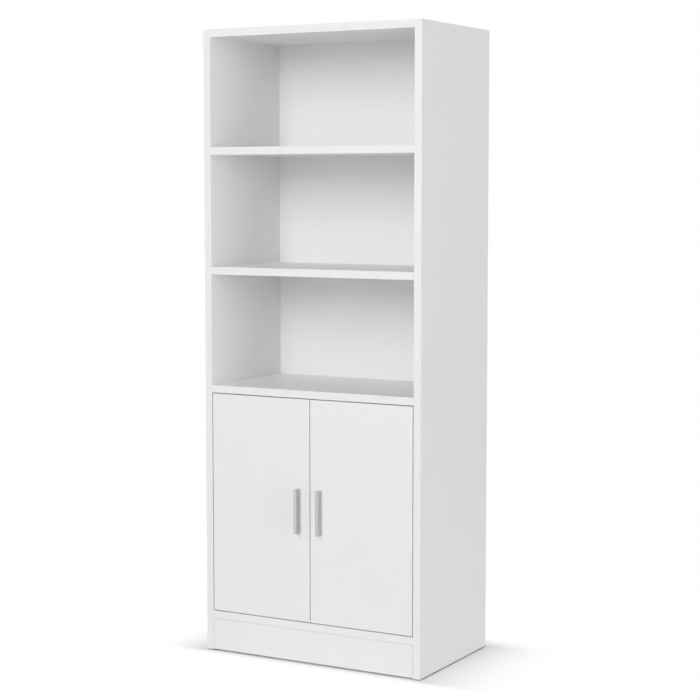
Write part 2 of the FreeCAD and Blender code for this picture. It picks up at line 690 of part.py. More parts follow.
def cup_pins(name):
    """The main link's pin between the ears, and a stub from the cup's wall for each inner cheek."""
    wall = f"sqrt(size.cup_radius ^ 2 - ({CUP_X} - {INNER_CUP[0]} + size.cup_pin) ^ 2)"
    start = f"({CUP_EAR_TOP} + size.pivot_play)"
    length = f"({wall} - {start} - size.pivot_play)"
    stubs = [
        rod(f"{name}_{side}_stub", "size.cup_pin", length, (*INNER_CUP, z), "z")
        for side, z in (("upper", start), ("lower", f"(-{start} - {length})"))
    ]
    return [upright(f"{name}_main", MAIN_CUP, "size.cup_pin", CUP_EAR_TOP), *stubs]


def cup_screws():
    """Two screws through the flange into the door."""
    screws = []
    for index, sign in enumerate(("", "-")):
        z = f"{sign}size.cup_screw_rise"
        shank = rod(f"cup_shank_{index}", "size.screw_radius",
                    "(size.screw_bite + size.flange_thickness)",
                    (CUP_SCREW_X, "(size.door_thickness - size.screw_bite)", z), "y")
        head = rod(f"cup_head_{index}", "size.screw_head", "size.screw_head_height",
                   (CUP_SCREW_X, FLANGE_FACE, z), "y")
        screws.append(join(f"cup_screw_{index}", [shank, head]))
    return group("cup_screw_seed", screws)


def main_link():
    """Bent link between the arm's front pin and the cup's outer pin."""
    half = number("size.main_link_half")
    bend = ("size.main_bend_x", "size.main_bend_y")
    bar = strip("main_link_bar", [MAIN_CUP, bend, MAIN_ARM],
                number("size.main_link_thickness / 2"), -half, half)
    eyes = [
        upright("main_link_cup_eye", MAIN_CUP, "size.link_eye", "size.main_link_half"),
        upright("main_link_arm_eye", MAIN_ARM, "size.arm_eye", "size.main_link_half"),
    ]
    holes = [
        upright("main_link_cup_hole", MAIN_CUP, "(size.cup_pin + size.pivot_play)",
                "size.main_link_half"),
        upright("main_link_arm_hole", MAIN_ARM, "(size.arm_pin + size.pivot_play)",
                "size.main_link_half"),
    ]
    return cut("main_link_seed", join("main_link_body", [bar, *eyes]), holes)


def inner_link():
    """Bent link of two cheeks joined at the arm's rear pin; its cup end is the open pivot."""
    low = number("size.inner_link_gap")
    high = number(INNER_LINK_TOP)
    bend = ("size.inner_bend_x", "size.inner_bend_y")
    path = [INNER_CUP, bend, INNER_ARM]
    cheeks = []
    for index, (start, end) in enumerate(((low, high), (-high, -low))):
        side = "upper" if index == 0 else "lower"
        bar = strip(f"inner_link_{side}_bar", path, number("size.inner_link_thickness / 2"),
                    start, end)
        z = "size.inner_link_gap" if index == 0 else f"-{INNER_LINK_TOP}"
        eye = rod(f"inner_link_{side}_eye", "size.open_eye", "size.link_cheek", (*INNER_CUP, z), "z")
        cheeks += [bar, eye]
    bush = upright("inner_link_bush", INNER_ARM, "size.arm_eye", INNER_LINK_TOP)
    holes = [
        upright("inner_link_cup_hole", INNER_CUP, "(size.cup_pin + size.open_pivot_play)",
                INNER_LINK_TOP),
        upright("inner_link_arm_hole", INNER_ARM, "(size.arm_pin + size.pivot_play)",
                INNER_LINK_TOP),
    ]
    return cut("inner_link_seed", join("inner_link_body", [*cheeks, bush]), holes)


ARM_TOP = "(size.arm_gap + size.arm_cheek)"


def arm():
    """Cranked arm: two cheeks that hold the pins, joined by a web behind the links."""
    gap, top = number("size.arm_gap"), number(ARM_TOP)
    knee = ("size.arm_knee_x", "size.arm_knee_y")
    foot = (ARM_FOOT_X, "size.arm_foot_y")
    rear = (ARM_FOOT_X, "size.arm_rear_y")
    path = [MAIN_ARM, INNER_ARM, knee, foot, rear]
    half = number("size.arm_half")
    cheeks = [
        strip("arm_upper_cheek", path, half, gap, top),
        strip("arm_lower_cheek", path, half, -top, -gap),
    ]
    web = strip("arm_web_strip", [knee, foot, rear], number("size.arm_web"), -top, top)
    holes = [
        upright("arm_main_hole", MAIN_ARM, "size.arm_pin", ARM_TOP),
        upright("arm_inner_hole", INNER_ARM, "size.arm_pin", ARM_TOP),
        rod("arm_screw_hole", "size.handle_screw", "(2 * size.arm_web)",
            ("size.plate_rise", "size.arm_screw_y", "0"), "x"),
    ]
    return cut("arm_seed", join("arm_body", [*cheeks, web]), holes)


def arm_pins():
    """The two pins across the arm."""
    return group("arm_pin_seed", [
        upright("arm_main_pin", MAIN_ARM, "size.arm_pin", ARM_TOP),
        upright("arm_inner_pin", INNER_ARM, "size.arm_pin", ARM_TOP),
    ])


def mounting_plate():
    """Plate with two screw wings and a block that carries the arm."""
    wings = block("plate_wings",
                  ("size.plate_thickness", "size.plate_wing_width", "size.plate_wing_height"),
                  ("0", f"({PLATE_SCREW_Y} - size.plate_wing_width / 2)",
                   "-size.plate_wing_height / 2"))
    carrier = block("plate_carrier",
                    ("size.plate_rise", f"(size.arm_rear_y - {PLATE_SCREW_Y})",
                     "(2 * size.plate_block)"),
                    ("0", PLATE_SCREW_Y, "-size.plate_block"))
    holes = [
        rod(f"plate_hole_{index}", "size.screw_radius", "size.plate_thickness",
            ("0", PLATE_SCREW_Y, f"{sign}size.plate_screw_rise"), "x")
        for index, sign in enumerate(("", "-"))
    ]
    holes.append(rod("plate_arm_hole", "size.handle_screw", "size.plate_rise",
                     ("0", "size.arm_screw_y", "0"), "x"))
    return cut("plate_seed", join("plate_body", [wings, carrier]), holes)


def plate_screws():
    """Two screws that hold a plate to the side panel, and the screw that holds the arm to it."""
    screws = []
    for index, sign in enumerate(("", "-")):
        z = f"{sign}size.plate_screw_rise"
        shank = rod(f"plate_shank_{index}", "size.screw_radius",
                    "(size.screw_bite + size.plate_thickness)",
                    ("-size.screw_bite", PLATE_SCREW_Y, z), "x")
        head = rod(f"plate_head_{index}", "size.screw_head", "size.screw_head_height",
                   ("size.plate_thickness", PLATE_SCREW_Y, z), "x")
        screws.append(join(f"plate_screw_{index}", [shank, head]))
    return group("plate_screw_seed", screws)


def arm_screw():
    """Machine screw through the arm's web into the plate."""
    top = "(size.plate_rise + 2 * size.arm_web)"
    shank = rod("arm_screw_shank", "size.handle_screw", top, ("0", "size.arm_screw_y", "0"), "x")
    head = rod("arm_screw_head", "size.handle_screw_head", "size.screw_head_height",
               (top, "size.arm_screw_y", "0"), "x")
    return join("arm_screw_seed", [shank, head])


def hinge_pair(name, seed):
    """The lower and the upper hinge's copy of a small part, at the left door."""
    return group(name, [
        copy_of(f"{name}_low", seed, (f"-{INNER}", FRONT, HINGE_LOW)),
        copy_of(f"{name}_high", seed, (f"-{INNER}", FRONT, HINGE_HIGH)),
    ])


# ---------------------------------------------------------------- knock-down fittings

CAM_TURNS = {
    "under": FreeCAD.Rotation(),
    "over": FreeCAD.Rotation(Vector(1, 0, 0), 180),
    "before": FreeCAD.Rotation(Vector(1, 0, 0), -90),
    "behind": FreeCAD.Rotation(Vector(1, 0, 0), 90),
}


def cam_lock():
    """Cam with the cross bore that takes the bolt, drawn from the board's face at z = 0."""
    drum = rod("cam_drum", "size.cam_radius", f"({CAM_DEPTH} - size.cap_thickness)",
               ("0", "0", "size.cap_thickness"), "z")
    mouth = rod("cam_mouth", "size.bolt_bore", "(size.cam_radius + size.bolt_bore)",
                ("-size.cam_radius", "0", "size.board / 2"), "x")
    slot = block("cam_slot", ("size.cam_radius", "size.cap_thickness", "size.cap_thickness"),
                 ("-size.cam_radius / 2", "-size.cap_thickness / 2", "size.cap_thickness"))
    return cut("cam_seed", drum, [mouth, slot])


def cam_cap():
    """Cover cap, flush with the board's face."""
    return rod("cap_seed", "size.cam_radius", "size.cap_thickness", ("0", "0", "0"), "z")


def cam_bolt():
    """Bolt: thread in the side panel, shaft, neck and the head that the cam pulls on."""
    head = "(2 * size.bolt_neck)"
    thread = rod("bolt_thread_rod", "size.bolt_thread", "size.bolt_thread_length",
                 ("-size.bolt_thread_length", "0", "0"), "x")
    shaft = rod("bolt_shaft_rod", "size.bolt_shaft", "(size.cam_reach - size.cam_radius)",
                ("0", "0", "0"), "x")
    neck = rod("bolt_neck_rod", "size.bolt_neck", "size.cam_radius",
               ("(size.cam_reach - size.cam_radius)", "0", "0"), "x")
    tip = rod("bolt_head_rod", "size.bolt_shaft", head, ("(size.cam_reach - size.bolt_neck)", "0", "0"),
              "x")
    return join("bolt_seed", [thread, shaft, neck, tip])


def dowel():
    """Fluted wooden dowel as a plain rod with bevelled ends."""
    peg = rod("dowel_rod", "size.dowel_radius", "size.dowel_length", ("-size.dowel_in_side", "0", "0"),
              "x")
    document.recompute()
    bevelled = document.addObject("Part::Chamfer", "dowel_seed")
    bevelled.Base = peg
    ends = [i for i, edge in enumerate(peg.Shape.Edges, start=1) if len(edge.Vertexes) == 1]
    bevel = number("size.dowel_bevel")
    bevelled.Edges = [(i, bevel, bevel) for i in ends]
    return bevelled


def board_fittings():
    """Every cam, cap, bolt and dowel at the left board ends, mirrored to the right ones."""
    seeds = {"cam_locks": cam_lock(), "cam_caps": cam_cap(), "cam_bolts": cam_bolt(),
             "dowels": dowel()}
    left = {name: [] for name in seeds}
    for name, y, z, depth, height, face, cams, pegs in BOARDS:
        # the board's face that the cam goes in from, and the cam's place on it
        lifts = {"under": ("0", "-size.board / 2"), "over": ("0", "size.board / 2"),
                 "before": ("-size.board / 2", "0"), "behind": ("size.board / 2", "0")}[face]
        for index, (v, w) in enumerate(cams):
            axis = (f"({y} + {v})", f"({z} + {w})")
            mouth = (f"(-{INNER} + size.cam_reach)", f"({axis[0]} + {lifts[0]})",
                     f"({axis[1]} + {lifts[1]})")
            for part in ("cam_locks", "cam_caps"):
                left[part].append(
                    copy_of(f"{part}_{name}_{index}", seeds[part], mouth, CAM_TURNS[face]))
            left["cam_bolts"].append(
                copy_of(f"cam_bolts_{name}_{index}", seeds["cam_bolts"], (f"-{INNER}", *axis)))
        for index, (v, w) in enumerate(pegs):
            start = (f"-{INNER}", f"({y} + {v})", f"({z} + {w})")
            left["dowels"].append(copy_of(f"dowels_{name}_{index}", seeds["dowels"], start))
    return [both_sides(name, pieces) for name, pieces in left.items()]


# ---------------------------------------------------------------- other small hardware


def shelf_pins():
    """Four pins: a shank in the side panel and a flat tongue under the shelf."""
    shank = rod("pin_shank", "size.pin_radius", "size.pin_depth", ("-size.pin_depth", "0", "0"), "x")
    tongue = block("pin_tongue", ("size.pin_reach", "(3 * size.pin_radius)", "(2 * size.pin_radius)"),
                   ("0", "-1.5 * size.pin_radius", "-size.pin_radius"))
    seed = join("pin_seed", [shank, tongue])
    return both_sides("shelf_pins", [
        copy_of(f"shelf_pin_{index}", seed, (f"-{INNER}", f"({FRONT} + {y})", PIN_HOLE_LEVEL))
        for index, y in enumerate(PIN_COLUMNS)
    ])


def back_screws():
    """Screws through the back panel into the rear edges of the shelves."""
    rear = f"({FRONT} + size.shelf_depth + size.back_panel)"
    shank = rod("back_shank", "size.screw_radius", "(size.back_screw_bite + size.back_panel)",
                ("0", "-(size.back_screw_bite + size.back_panel)", "0"), "y")
    head = rod("back_head", "size.screw_head", "size.screw_head_height", ("0", "0", "0"), "y")
    seed = join("back_screw_seed", [shank, head])
    return group("back_screws", [
        copy_of(f"back_screw_{shelf}_{column}", seed,
                (f"(-{INNER} + {x})", rear, f"({z} + {MID})"))
        for shelf, z in enumerate((CABINET_TOP_LEVEL, LOWER_SHELF_LEVEL, UPPER_SHELF_LEVEL))
        for column, x in enumerate(back_screw_columns())
    ])


STOP_FRONT = f"({FRONT} + size.door_thickness + size.stop_play)"
STOP_MIDDLE = f"({STOP_FRONT} + size.stop_depth / 2)"


def door_stops():
    """Stop blocks under the cabinet top, behind the free edges of the doors."""
    base = block("stop_block", ("size.stop_width", "size.stop_depth", "size.stop_height"),
                 ("(-size.stop_offset - size.stop_width / 2)", STOP_FRONT,
                  f"({CABINET_TOP_LEVEL} - size.stop_height)"))
    hole = rod("stop_hole", "size.screw_radius", "size.stop_height",
               ("-size.stop_offset", STOP_MIDDLE, f"({CABINET_TOP_LEVEL} - size.stop_height)"), "z")
    return both_sides("door_stops", [cut("stop_seed", base, [hole])])


def door_stop_screws():
    """One screw up through each stop into the cabinet top."""
    shank = rod("stop_shank", "size.screw_radius", "(size.stop_height + size.screw_bite)",
                ("-size.stop_offset", STOP_MIDDLE, f"({CABINET_TOP_LEVEL} - size.stop_height)"), "z")
    head = rod("stop_head", "size.screw_head", "size.screw_head_height",
               ("-size.stop_offset", STOP_MIDDLE,
                f"({CABINET_TOP_LEVEL} - size.stop_height - size.screw_head_height)"), "z")
    return both_sides("door_stop_screws", [join("stop_screw_seed", [shank, head])])


def glides():
    """Plastic floor glides under the side panels."""
    disc = rod("glide_disc", "size.glide_radius", "size.glide_height", ("0", "0", "0"), "z")
    hole = rod("glide_hole", "size.nail_radius", "size.glide_height", ("0", "0", "0"), "z")
    recess = rod("glide_recess", "size.nail_head", "size.nail_recess", ("0", "0", "0"), "z")
    return both_sides("glides", under_sides("glide", cut("glide_seed", disc, [hole, recess])))


def glide_nails():
    """Nails that hold the glides, their heads in the recess."""
    shank = rod("nail_shank", "size.nail_radius",
                "(size.nail_length + size.glide_height - size.nail_recess)",
                ("0", "0", "size.nail_recess"), "z")
    head = rod("nail_cap", "size.nail_head", "(size.nail_recess / 2)",
               ("0", "0", "(size.nail_recess / 2)"), "z")
    return both_sides("glide_nails", under_sides("glide_nail", join("nail_seed", [shank, head])))


def under_sides(name, seed):
    """Copies of a seed under the front and rear of the left side panel."""
    x = "(-size.overall_width / 2 + size.board / 2)"
    return [copy_of(f"{name}_{index}", seed, (x, f"({FRONT} + {y})", "0"))
            for index, y in enumerate(GLIDE_COLUMNS)]


# ---------------------------------------------------------------- the whole bookcase


def build():
    """Every node of the bookcase."""
    left_side = side_panel()
    nodes = [left_side, mirrored("side_panel_right", left_side)]
    boards = {entry[0]: board(*entry) for entry in BOARDS}
    for name in ("cabinet_top", "shelf_lower", "shelf_upper"):
        back_screw_bores(boards[name], name)
    long_groove(boards["bottom_panel"], "bottom_panel", low_face=False)
    long_groove(boards["top_panel"], "top_panel", low_face=True)
    stop_holes = [(f"({INNER} {sign} size.stop_offset)", f"({STOP_MIDDLE} - {FRONT})")
                  for sign in "+-"]
    bores(boards["cabinet_top"], "XY_Plane", "cabinet_top_stop_screws", "0", stop_holes,
          "size.screw_radius", "size.screw_bite", reverse=True)
    nodes += [*boards.values(), back_panel(), adjustable_shelf()]

    left_door = door()
    left_handle = handle()
    left_handle_screws = handle_screws()
    nodes += [left_door, mirrored("door_right", left_door)]
    nodes += [left_handle, mirrored("handle_right", left_handle)]
    nodes += [left_handle_screws, mirrored("handle_screws_right", left_handle_screws)]

    hinge_parts = {
        "hinge_cups": cup(),
        "cup_pins": group("cup_pin_seed", cup_pins("cup_pin")),
        "cup_screws": cup_screws(),
        "main_links": main_link(),
        "inner_links": inner_link(),
        "hinge_arms": arm(),
        "arm_pins": arm_pins(),
        "mounting_plates": mounting_plate(),
        "plate_screws": plate_screws(),
        "arm_screws": arm_screw(),
    }
    for name, seed in hinge_parts.items():
        left = hinge_pair(f"{name}_left", seed)
        nodes += [left, mirrored(f"{name}_right", left)]

    nodes += board_fittings()
    nodes += [shelf_pins(), back_screws(), door_stops(), door_stop_screws(), glides(), glide_nails()]
    return nodes


def check(nodes):
    """Stop where a feature failed, a cut removed nothing or a node isn't sound."""
    for feature in document.Objects:
        if "Invalid" in feature.State or "Error" in feature.State:
            raise RuntimeError(f"{feature.Name} failed: {feature.State}")
        if feature.TypeId == "PartDesign::Pocket":
            removed = feature.BaseFeature.Shape.Volume - feature.Shape.Volume
            if removed < 1:
                raise RuntimeError(f"{feature.Name} cuts nothing")
    for node in nodes:
        if node.Shape.isNull() or not node.Shape.isValid() or not node.Shape.Solids:
            raise RuntimeError(f"{node.Label} has no sound solid")


nodes = build()
document.recompute()
check(nodes)
os.makedirs("parts", exist_ok=True)
for node in nodes:
    node.Shape.exportStep(f"parts/{node.Label}.step")
print(f"{len(nodes)} nodes, {sum(len(node.Shape.Solids) for node in nodes)} solids")
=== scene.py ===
import math

import bmesh
import bpy
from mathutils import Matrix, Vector


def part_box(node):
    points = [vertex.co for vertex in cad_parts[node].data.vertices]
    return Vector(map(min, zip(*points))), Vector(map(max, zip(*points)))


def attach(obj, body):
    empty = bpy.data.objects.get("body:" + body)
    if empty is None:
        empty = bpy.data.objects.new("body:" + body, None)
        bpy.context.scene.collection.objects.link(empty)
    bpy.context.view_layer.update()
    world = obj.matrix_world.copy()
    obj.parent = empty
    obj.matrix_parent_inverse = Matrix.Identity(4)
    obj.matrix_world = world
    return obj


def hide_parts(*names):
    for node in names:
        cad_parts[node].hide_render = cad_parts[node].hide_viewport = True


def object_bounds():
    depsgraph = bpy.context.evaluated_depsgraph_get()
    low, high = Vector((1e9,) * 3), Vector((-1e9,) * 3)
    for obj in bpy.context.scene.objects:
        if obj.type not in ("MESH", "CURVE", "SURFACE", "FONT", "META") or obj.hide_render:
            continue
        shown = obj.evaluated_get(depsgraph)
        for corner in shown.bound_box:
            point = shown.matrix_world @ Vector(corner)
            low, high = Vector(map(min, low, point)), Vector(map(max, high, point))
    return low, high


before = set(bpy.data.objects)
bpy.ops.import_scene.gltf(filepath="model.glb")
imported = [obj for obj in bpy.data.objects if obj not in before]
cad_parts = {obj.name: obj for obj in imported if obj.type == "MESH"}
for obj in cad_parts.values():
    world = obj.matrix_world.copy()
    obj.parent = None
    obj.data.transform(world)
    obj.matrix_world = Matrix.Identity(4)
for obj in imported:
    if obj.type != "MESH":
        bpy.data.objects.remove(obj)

bl_info = {
    "name": "Bookcase with cabinet doors",
    "version": (1, 0, 0),
    "blender": (4, 5, 0),
    "location": "View3D > Sidebar > Bookcase",
    "description": "Dresses the packed bookcase: its boards, doors, metals and fittings",
    "category": "Object",
}

SIDES = ("left", "right")
CARCASS = "carcass"
CAD_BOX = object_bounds()
SIDE_LOW, SIDE_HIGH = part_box("side_panel_left")
FRONT_PLANE = SIDE_LOW.y
REAR_PLANE = SIDE_HIGH.y


# ---------------------------------------------------------------- what a user can change


def paint(red, green, blue):
    """Linear colour of a paint given in the usual 0 to 255 steps."""
    steps = [value / 255 for value in (red, green, blue)]
    return tuple(s / 12.92 if s <= 0.04045 else ((s + 0.055) / 1.055) ** 2.4 for s in steps)


def colour_property(name, description, default):
    """Colour that shows as a swatch in the panel."""
    return bpy.props.FloatVectorProperty(
        name=name, description=description, default=default, subtype="COLOR", size=3, min=0, max=1)


def length_property(name, description, default):
    """Length in metres, at most a metre."""
    return bpy.props.FloatProperty(
        name=name, description=description, default=default, unit="LENGTH", min=0, max=1,
        precision=5)


def share_property(name, description, default):
    """Share from 0 to 1."""
    return bpy.props.FloatProperty(
        name=name, description=description, default=default, subtype="FACTOR", min=0, max=1)


def level_property(name, description, default):
    """Level of light, 1 where it shows a colour as it is written."""
    return bpy.props.FloatProperty(name=name, description=description, default=default, min=0)


class BoardLook(bpy.types.PropertyGroup):
    """White melamine film, its edge bands, and the chipboard under it."""

    film: colour_property("Film", "Colour of the melamine film", paint(243.4, 242, 242.4))
    chip: colour_property("Chips", "Colour of the raw chipboard", paint(190, 160, 122))
    pearl: length_property("Pearl", "Size of the film's embossed pearls", 0.0011)
    emboss: length_property("Emboss", "Depth of the film's embossing", 0.00002)
    tone: share_property("Tone", "How much the film's colour varies", 0.02)
    roughness: share_property("Roughness", "Roughness of the film", 0.42)
    band: length_property("Edge band", "Thickness of the edge bands", 0.001)
    glue_line: length_property("Glue line", "Width of the line beside an edge band", 0.0002)
    # painted shade: a dark line round the plinth's front stands for the shade where it meets its
    # neighbours
    joint: length_property("Joint", "Width of the dark line where the plinth meets its neighbours",
                           0.0006)


class MetalLook(bpy.types.PropertyGroup):
    """Handles, hinges, screws and cast fittings."""

    handle: colour_property("Handle", "Colour of the satin handles", paint(193, 192, 193))
    nickel: colour_property("Nickel", "Colour of the nickel-plated hinges", paint(206, 203, 196))
    steel: colour_property("Steel", "Colour of the zinc-plated screws", paint(196, 198, 202))
    zinc: colour_property("Cast zinc", "Colour of the cam locks", paint(168, 170, 172))
    brush: length_property("Brush", "Width of a brush stroke", 0.00025)
    smudge: share_property("Smudge", "How much touching dulls the metal", 0.12)


class SmallPartsLook(bpy.types.PropertyGroup):
    """Plastic and wooden small parts."""

    cap: colour_property("Caps", "Colour of the white plastic parts", paint(234, 234, 232))
    glide: colour_property("Glides", "Colour of the floor glides", paint(74, 74, 76))
    beech: colour_property("Beech", "Colour of the dowels", paint(206, 170, 122))
    mould: length_property("Mould grain", "Size of the plastic's mould grain", 0.0006)


class StageLook(bpy.types.PropertyGroup):
    """Floor, lamps and camera."""

    floor: colour_property("Floor", "Colour of the floor round the bookcase", paint(250, 250, 250))
    ambient: level_property("Ambient", "Level of the light from all round", 0.235)
    key: level_property("Key", "Level that the front lamp adds on a board that faces it", 0.39)
    low: level_property("Low", "Level that the low lamp in front adds", 0.115)
    right: level_property("Right", "Level that the lamp on the right adds", 0.32)
    rear: level_property("Rear", "Level that the lamp behind adds", 0.42)
    # lift sets how much plain white lightens the painted shadow on the floor
    lift: share_property("Lift", "Share of plain white in the shadow on the floor", 0.17)
    lens: bpy.props.FloatProperty(
        name="Lens", description="Focal length of the camera", default=92.5, unit="CAMERA")


LOOKS = {
    "bookcase_boards": BoardLook,
    "bookcase_metals": MetalLook,
    "bookcase_small_parts": SmallPartsLook,
    "bookcase_stage": StageLook,
}


# ---------------------------------------------------------------- node trees


def add(tree, kind, **settings):
    """Node with its plain settings."""
    made = tree.nodes.new(kind)
    for name, value in settings.items():
        setattr(made, name, value)
    return made


def feed(tree, made, **sources):
    """Inputs of a node from sockets, which are linked, or from plain values, which are set.

    An input goes by its name, or by its place in the list, such as i0, where names repeat.
    """
    for name, source in sources.items():
        socket = made.inputs[int(name[1:])] if name.startswith("i") else made.inputs[name]
        if isinstance(source, bpy.types.NodeSocket):
            tree.links.new(source, socket)
        else:
            socket.default_value = source
    return made


def maths(tree, operation, first, second=0.0, third=0.0):
    """Result of one sum."""
    made = add(tree, "ShaderNodeMath", operation=operation)
    return feed(tree, made, i0=first, i1=second, i2=third).outputs[0]


def noise(tree, place, scale, detail, rough):
    """Soft noise from 0 to 1."""
    made = add(tree, "ShaderNodeTexNoise")
    return feed(tree, made, Vector=place, Scale=scale, Detail=detail, Roughness=rough).outputs[0]


def drift(tree, value):
    """Noise moved so that it goes evenly up and down round 0."""
    return maths(tree, "SUBTRACT", value, 0.5)


def spread(tree, value, span, result):
    """Value from one range laid on another, kept inside it."""
    made = add(tree, "ShaderNodeMapRange")
    feed(tree, made, i0=value, i1=span[0], i2=span[1], i3=result[0], i4=result[1])
    return made.outputs[0]


def stretched(tree, place, factors):
    """Place with each of its axes drawn out by a factor of its own."""
    made = add(tree, "ShaderNodeVectorMath", operation="MULTIPLY")
    return feed(tree, made, i0=place, i1=factors).outputs[0]


def scaled_tone(tree, colour, factor):
    """Colour made lighter or darker by a factor."""
    made = add(tree, "ShaderNodeVectorMath", operation="SCALE")
    return feed(tree, made, i0=colour, Scale=factor).outputs[0]


def blend_colours(tree, share, first, second):
    """Two colours mixed, by the Mix node's inputs and output for colours."""
    made = add(tree, "ShaderNodeMix", data_type="RGBA")
    return feed(tree, made, i0=share, i6=first, i7=second).outputs[2]


def blend_shaders(tree, surface, share, first, second):
    """Two shaders mixed on a surface."""
    made = add(tree, "ShaderNodeMixShader")
    feed(tree, made, i0=share, i1=first.outputs[0], i2=second.outputs[0])
    tree.links.new(made.outputs[0], surface)


def effect(name, inputs, outputs):
    """Empty shader node group with named inputs and outputs."""
    group = bpy.data.node_groups.new(name, "ShaderNodeTree")
    for label, kind, default in inputs:
        socket = group.interface.new_socket(label, in_out="INPUT", socket_type=kind)
        if default is not None:
            socket.default_value = default
    for label, kind in outputs:
        group.interface.new_socket(label, in_out="OUTPUT", socket_type=kind)
    return group, add(group, "NodeGroupInput"), add(group, "NodeGroupOutput")


def placed(tree, group, **values):
    """A group set in a tree with its own values."""
    made = add(tree, "ShaderNodeGroup", node_tree=bpy.data.node_groups[group])
    return feed(tree, made, **values)


def fresh_tree(owner, output):
    """Emptied node tree of a material or a world, and the surface that it has to feed."""
    owner.use_nodes = True
    tree = owner.node_tree
    tree.nodes.clear()
    return tree, add(tree, output).inputs["Surface"]


# ---------------------------------------------------------------- effects


FLOAT, VECTOR, COLOUR = "NodeSocketFloat", "NodeSocketVector", "NodeSocketColor"
WHOLE = (0.0, 1.0)

# how often each texture repeats in a metre
CLOUDS = 5.0
CHIPS = 420.0
SAWDUST = 1500.0
TOUCHES = 45.0
FIBRES = (60.0, 900.0, 900.0)

# how far the film's gloss drifts, how much a smudge darkens, and how much a stroke dulls
GLOSS_DRIFT = 0.16
SMUDGE_TONE = 0.3
STROKE_GLOSS = 0.08
# cosines between which a face comes to count as looking along a direction
FACING_SPAN = (0.85, 0.95)


def pearl_film():
    """Embossed melamine film: tiny pearls, a faint drift of tone and of gloss."""
    group, given, made = effect(
        "pearl_film",
        [("Place", VECTOR, None), ("Colour", COLOUR, None), ("Tone", FLOAT, 0.02),
         ("Pearls", FLOAT, 900.0), ("Roughness", FLOAT, 0.4)],
        [("Colour", COLOUR), ("Roughness", FLOAT), ("Height", FLOAT)])
    place, tone = given.outputs["Place"], given.outputs["Tone"]
    pearls = noise(group, place, given.outputs["Pearls"], detail=3.0, rough=0.55)
    clouds = noise(group, place, CLOUDS, detail=3.0, rough=0.6)
    fine = maths(group, "MULTIPLY_ADD", drift(group, pearls), tone, 1.0)
    broad = maths(group, "MULTIPLY", drift(group, clouds), tone)
    shade = maths(group, "ADD", fine, broad)
    gloss = maths(group, "MULTIPLY_ADD", drift(group, clouds), GLOSS_DRIFT,
                  given.outputs["Roughness"])
    feed(group, made, Colour=scaled_tone(group, given.outputs["Colour"], shade),
         Roughness=gloss, Height=pearls)


def chipboard():
    """Pressed wood chips as a sawn edge shows them."""
    group, given, made = effect(
        "chipboard",
        [("Place", VECTOR, None), ("Colour", COLOUR, None)],
        [("Colour", COLOUR), ("Height", FLOAT)])
    place = given.outputs["Place"]
    cells = feed(group, add(group, "ShaderNodeTexVoronoi"), Vector=place, Scale=CHIPS)
    chip = feed(group, add(group, "ShaderNodeSeparateColor"), Color=cells.outputs["Color"])
    dust = noise(group, place, SAWDUST, detail=3.0, rough=0.6)
    shade = maths(group, "MULTIPLY",
                  spread(group, chip.outputs["Red"], WHOLE, (0.55, 1.25)),
                  spread(group, dust, (0.3, 0.7), (0.85, 1.1)))
    feed(group, made, Colour=scaled_tone(group, given.outputs["Colour"], shade),
         Height=maths(group, "ADD", chip.outputs["Green"], dust))


def facing():
    """Mask of the faces that look along a direction."""
    group, given, made = effect(
        "facing", [("Direction", VECTOR, (0, 1, 0))], [("Mask", FLOAT)])
    surface = add(group, "ShaderNodeNewGeometry")
    along = add(group, "ShaderNodeVectorMath", operation="DOT_PRODUCT")
    feed(group, along, i0=surface.outputs["True Normal"], i1=given.outputs["Direction"])
    feed(group, made, Mask=spread(group, along.outputs["Value"], FACING_SPAN, WHOLE))


def glue_line():
    """Hairline beside the edge band at a board's front, on the faces that run back from it."""
    group, given, made = effect(
        "glue_line",
        [("Place", VECTOR, None), ("Front", FLOAT, 0.0), ("Band", FLOAT, 0.001),
         ("Width", FLOAT, 0.0002)],
        [("Mask", FLOAT)])
    place = feed(group, add(group, "ShaderNodeSeparateXYZ"), Vector=given.outputs["Place"])
    back = maths(group, "SUBTRACT", place.outputs["Y"], given.outputs["Front"])
    off = maths(group, "ABSOLUTE", maths(group, "SUBTRACT", back, given.outputs["Band"]))
    feed(group, made, Mask=maths(group, "LESS_THAN", off, given.outputs["Width"]))


def joint_shade_line():
    """Painted shade: a dark line along the ends and the top of a board that meets its neighbours
    flush.
    """
    group, given, made = effect(
        "joint_shade_line",
        [("Place", VECTOR, None), ("End", FLOAT, 0.3), ("Top", FLOAT, 0.1),
         ("Width", FLOAT, 0.0006)],
        [("Mask", FLOAT)])
    place = feed(group, add(group, "ShaderNodeSeparateXYZ"), Vector=given.outputs["Place"])
    to_end = maths(group, "SUBTRACT", given.outputs["End"],
                   maths(group, "ABSOLUTE", place.outputs["X"]))
    to_top = maths(group, "SUBTRACT", given.outputs["Top"], place.outputs["Z"])
    nearest = maths(group, "MINIMUM", to_end, to_top)
    feed(group, made, Mask=maths(group, "LESS_THAN", nearest, given.outputs["Width"]))


